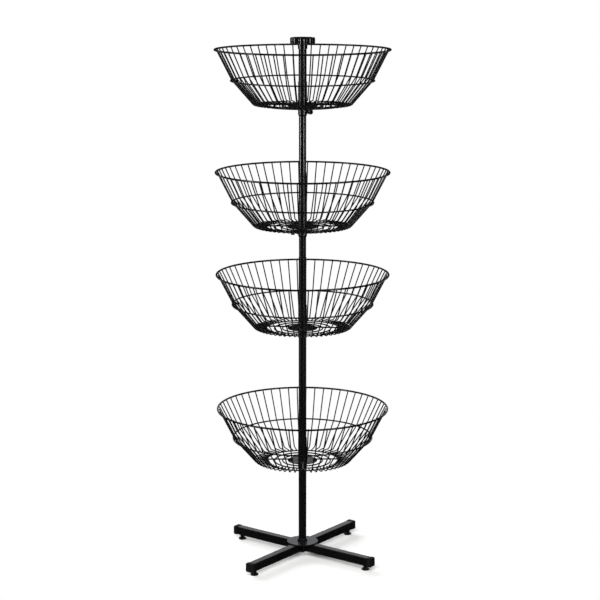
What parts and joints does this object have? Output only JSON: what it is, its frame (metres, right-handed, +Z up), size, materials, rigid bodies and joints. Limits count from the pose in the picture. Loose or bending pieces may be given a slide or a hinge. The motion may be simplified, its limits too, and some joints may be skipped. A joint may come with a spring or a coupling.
{
  "type": "tiered basket display stand",
  "caption": "Tall floor stand with round wire baskets that revolve on a central pole, set at adjustable heights over a cross-shaped foot.",
  "frame": {"origin": "on the floor, on the pole's axis, which is the centre of the stand's footprint", "axes": "+Z up along the pole; the four legs point along the diagonals between +X, +Y, -X and -Y"},
  "size_m": [0.5588, 0.5588, 1.696],
  "materials": {
    "black_powder_coat": "satin black powder coat over steel",
    "black_plastic": "black moulded plastic",
    "foot_plastic": "black moulded plastic pad",
    "zinc_plated_steel": "zinc plated",
    "bearing_plastic": "black nylon"
  },
  "bodies": {
    "stand": {"base_plate": "black_powder_coat", "bolt_washer": "zinc_plated_steel", "foot_inserts": "zinc_plated_steel", "leg_end_caps": "black_plastic", "leg_long": "black_powder_coat", "leg_short_left": "black_powder_coat", "leg_short_right": "black_powder_coat", "pole_bolt": "zinc_plated_steel", "pole_lower": "black_powder_coat", "pole_plug": "zinc_plated_steel", "pole_socket": "black_powder_coat", "pole_upper": "black_powder_coat", "top_cap": "black_plastic"},
    "levelling_foot_1": {"levelling_foot_1": "foot_plastic"},
    "levelling_foot_2": {"levelling_foot_2": "foot_plastic"},
    "levelling_foot_3": {"levelling_foot_3": "foot_plastic"},
    "levelling_foot_4": {"levelling_foot_4": "foot_plastic"},
    "collar_1": {"collar_1": "black_powder_coat", "bearing_washer_1": "bearing_plastic"},
    "basket_1": {"basket_1_rim_ring": "black_powder_coat", "basket_1_middle_ring": "black_powder_coat", "basket_1_ribs": "black_powder_coat", "basket_1_floor_rings": "black_powder_coat", "basket_1_floor_spokes": "black_powder_coat", "basket_1_hub_plate": "black_powder_coat", "basket_1_hub_sleeve": "black_powder_coat", "basket_1_hub_liner": "black_powder_coat"},
    "thumb_knob_1": {"thumb_knob_1": "black_plastic"},
    "collar_2": {"collar_2": "black_powder_coat", "bearing_washer_2": "bearing_plastic"},
    "basket_2": {"basket_2_rim_ring": "black_powder_coat", "basket_2_middle_ring": "black_powder_coat", "basket_2_ribs": "black_powder_coat", "basket_2_floor_rings": "black_powder_coat", "basket_2_floor_spokes": "black_powder_coat", "basket_2_hub_plate": "black_powder_coat", "basket_2_hub_sleeve": "black_powder_coat", "basket_2_hub_liner": "black_powder_coat"},
    "thumb_knob_2": {"thumb_knob_2": "black_plastic"},
    "collar_3": {"collar_3": "black_powder_coat", "bearing_washer_3": "bearing_plastic"},
    "basket_3": {"basket_3_rim_ring": "black_powder_coat", "basket_3_middle_ring": "black_powder_coat", "basket_3_ribs": "black_powder_coat", "basket_3_floor_rings": "black_powder_coat", "basket_3_floor_spokes": "black_powder_coat", "basket_3_hub_plate": "black_powder_coat", "basket_3_hub_sleeve": "black_powder_coat"},
    "thumb_knob_3": {"thumb_knob_3": "black_plastic"},
    "collar_4": {"collar_4": "black_powder_coat", "bearing_washer_4": "bearing_plastic"},
    "basket_4": {"basket_4_rim_ring": "black_powder_coat", "basket_4_middle_ring": "black_powder_coat", "basket_4_ribs": "black_powder_coat", "basket_4_floor_rings": "black_powder_coat", "basket_4_floor_spokes": "black_powder_coat", "basket_4_hub_plate": "black_powder_coat", "basket_4_hub_sleeve": "black_powder_coat"},
    "thumb_knob_4": {"thumb_knob_4": "black_plastic"}
  },
  "joints": [
    {"name": "foot_1_level", "type": "slide", "parent": "stand", "child": "levelling_foot_1", "axis": [0, 0, -1], "range_m": [0, 0.01]},
    {"name": "foot_2_level", "type": "slide", "parent": "stand", "child": "levelling_foot_2", "axis": [0, 0, -1], "range_m": [0, 0.01]},
    {"name": "foot_3_level", "type": "slide", "parent": "stand", "child": "levelling_foot_3", "axis": [0, 0, -1], "range_m": [0, 0.01]},
    {"name": "foot_4_level", "type": "slide", "parent": "stand", "child": "levelling_foot_4", "axis": [0, 0, -1], "range_m": [0, 0.01]},
    {"name": "collar_1_height", "type": "slide", "parent": "stand", "child": "collar_1", "axis": [0, 0, 1], "range_m": [-0.09, 0]},
    {"name": "basket_1_spin", "type": "hinge", "parent": "collar_1", "child": "basket_1", "pos_m": [0, 0, 1.658], "axis": [0, 0, 1], "continuous": true},
    {"name": "thumb_knob_1_turn", "type": "hinge", "parent": "collar_1", "child": "thumb_knob_1", "pos_m": [0.02007, -0.02229, 1.464], "axis": [0.6691, -0.7431, 0], "range_deg": [0, 360]},
    {"name": "collar_2_height", "type": "slide", "parent": "stand", "child": "collar_2", "axis": [0, 0, 1], "range_m": [-0.06, 0.083]},
    {"name": "basket_2_spin", "type": "hinge", "parent": "collar_2", "child": "basket_2", "pos_m": [0, 0, 1.271], "axis": [0, 0, 1], "continuous": true},
    {"name": "thumb_knob_2_turn", "type": "hinge", "parent": "collar_2", "child": "thumb_knob_2", "pos_m": [-0.02971, 0.00418, 1.077], "axis": [-0.9903, 0.1392, 0], "range_deg": [0, 360]},
    {"name": "collar_3_height", "type": "slide", "parent": "stand", "child": "collar_3", "axis": [0, 0, 1], "range_m": [-0.16, 0.155]},
    {"name": "basket_3_spin", "type": "hinge", "parent": "collar_3", "child": "basket_3", "pos_m": [0, 0, 0.941], "axis": [0, 0, 1], "continuous": true},
    {"name": "thumb_knob_3_turn", "type": "hinge", "parent": "collar_3", "child": "thumb_knob_3", "pos_m": [-0.00261, 0.02989, 0.747], "axis": [-0.0872, 0.9962, 0], "range_deg": [0, 360]},
    {"name": "collar_4_height", "type": "slide", "parent": "stand", "child": "collar_4", "axis": [0, 0, 1], "range_m": [-0.229, 0.168]},
    {"name": "basket_4_spin", "type": "hinge", "parent": "collar_4", "child": "basket_4", "pos_m": [0, 0, 0.498], "axis": [0, 0, 1], "continuous": true},
    {"name": "thumb_knob_4_turn", "type": "hinge", "parent": "collar_4", "child": "thumb_knob_4", "pos_m": [0.00521, 0.02954, 0.304], "axis": [0.1736, 0.9848, 0], "range_deg": [0, 360]}
  ]
}
